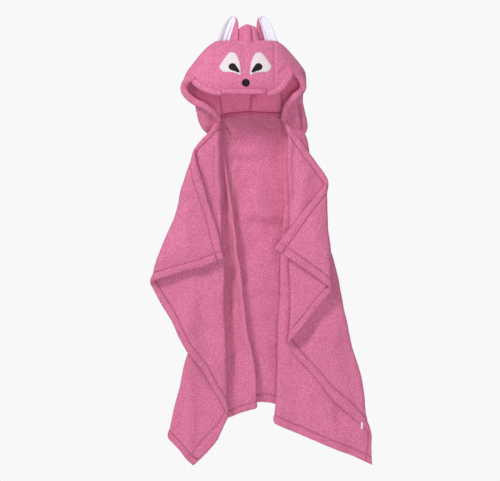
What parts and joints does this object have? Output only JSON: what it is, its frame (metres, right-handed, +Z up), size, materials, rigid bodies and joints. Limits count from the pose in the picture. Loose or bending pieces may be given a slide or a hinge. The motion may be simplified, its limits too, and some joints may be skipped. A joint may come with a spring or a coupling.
{
  "type": "hooded baby towel",
  "caption": "Terry baby towel with an eared fox-face hood, hung by its loop with its front corners folded forward.",
  "frame": {"origin": "the point inside the top of the hanging loop that bears on the hook", "axes": "+Z up along the hanging towel, the hood's face looks along -Y, +X to the viewer's right"},
  "size_m": [0.568, 0.1142, 1.129],
  "materials": {
    "terry_pink": "looped terry, matt",
    "terry_pink_hem": "terry turned over and stitched",
    "felt_white": "short pile, matt",
    "felt_black": "felt, matt",
    "tape_pink": "woven tape",
    "label_white": "woven tape, blank"
  },
  "bodies": {
    "hood": {"hood_face": "terry_pink", "hood_side_left": "terry_pink", "hood_side_right": "terry_pink", "hood_back": "terry_pink", "hood_hem": "terry_pink_hem", "hood_crown": "terry_pink", "neck_tape": "tape_pink", "patch_left": "felt_white", "patch_right": "felt_white", "eye_left": "felt_black", "eye_right": "felt_black", "nose": "felt_black", "hanging_loop": "tape_pink"},
    "ear_left": {"ear_left_back": "terry_pink", "ear_left_lining": "felt_white"},
    "ear_right": {"ear_right_back": "terry_pink", "ear_right_lining": "felt_white"},
    "back": {"towel_back": "terry_pink", "bottom_hem": "terry_pink_hem", "back_left_side_hem": "terry_pink_hem", "back_right_side_hem": "terry_pink_hem"},
    "left_flap": {"left_flap": "terry_pink", "left_flap_top_hem": "terry_pink_hem", "left_flap_side_hem": "terry_pink_hem"},
    "right_flap": {"right_flap": "terry_pink", "right_flap_top_hem": "terry_pink_hem", "right_flap_side_hem": "terry_pink_hem"},
    "care_label": {"care_label": "label_white"}
  },
  "joints": [
    {"name": "ear_left_flop", "type": "hinge", "parent": "hood", "child": "ear_left", "pos_m": [-0.05, -0.044, -0.0235], "axis": [1, 0, 0], "range_deg": [-35, 60], "stiffness_Nm_per_rad": 0.05},
    {"name": "ear_right_flop", "type": "hinge", "parent": "hood", "child": "ear_right", "pos_m": [0.05, -0.044, -0.0235], "axis": [1, 0, 0], "range_deg": [-35, 60], "stiffness_Nm_per_rad": 0.05},
    {"name": "neck_swing", "type": "hinge", "parent": "hood", "child": "back", "pos_m": [0, -0.029, -0.218], "axis": [1, 0, 0], "range_deg": [-30, 30]},
    {"name": "left_flap_open", "type": "hinge", "parent": "back", "child": "left_flap", "pos_m": [-0.044, -0.046, -0.6], "axis": [0, 0, 1], "range_deg": [0, 90]},
    {"name": "right_flap_open", "type": "hinge", "parent": "back", "child": "right_flap", "pos_m": [0.084, -0.056, -0.5], "axis": [0, 0, -1], "range_deg": [0, 90]},
    {"name": "label_swing", "type": "hinge", "parent": "back", "child": "care_label", "pos_m": [0.286, -0.0454, -0.985], "axis": [1, 0, 0], "range_deg": [-75, 0]}
  ]
}
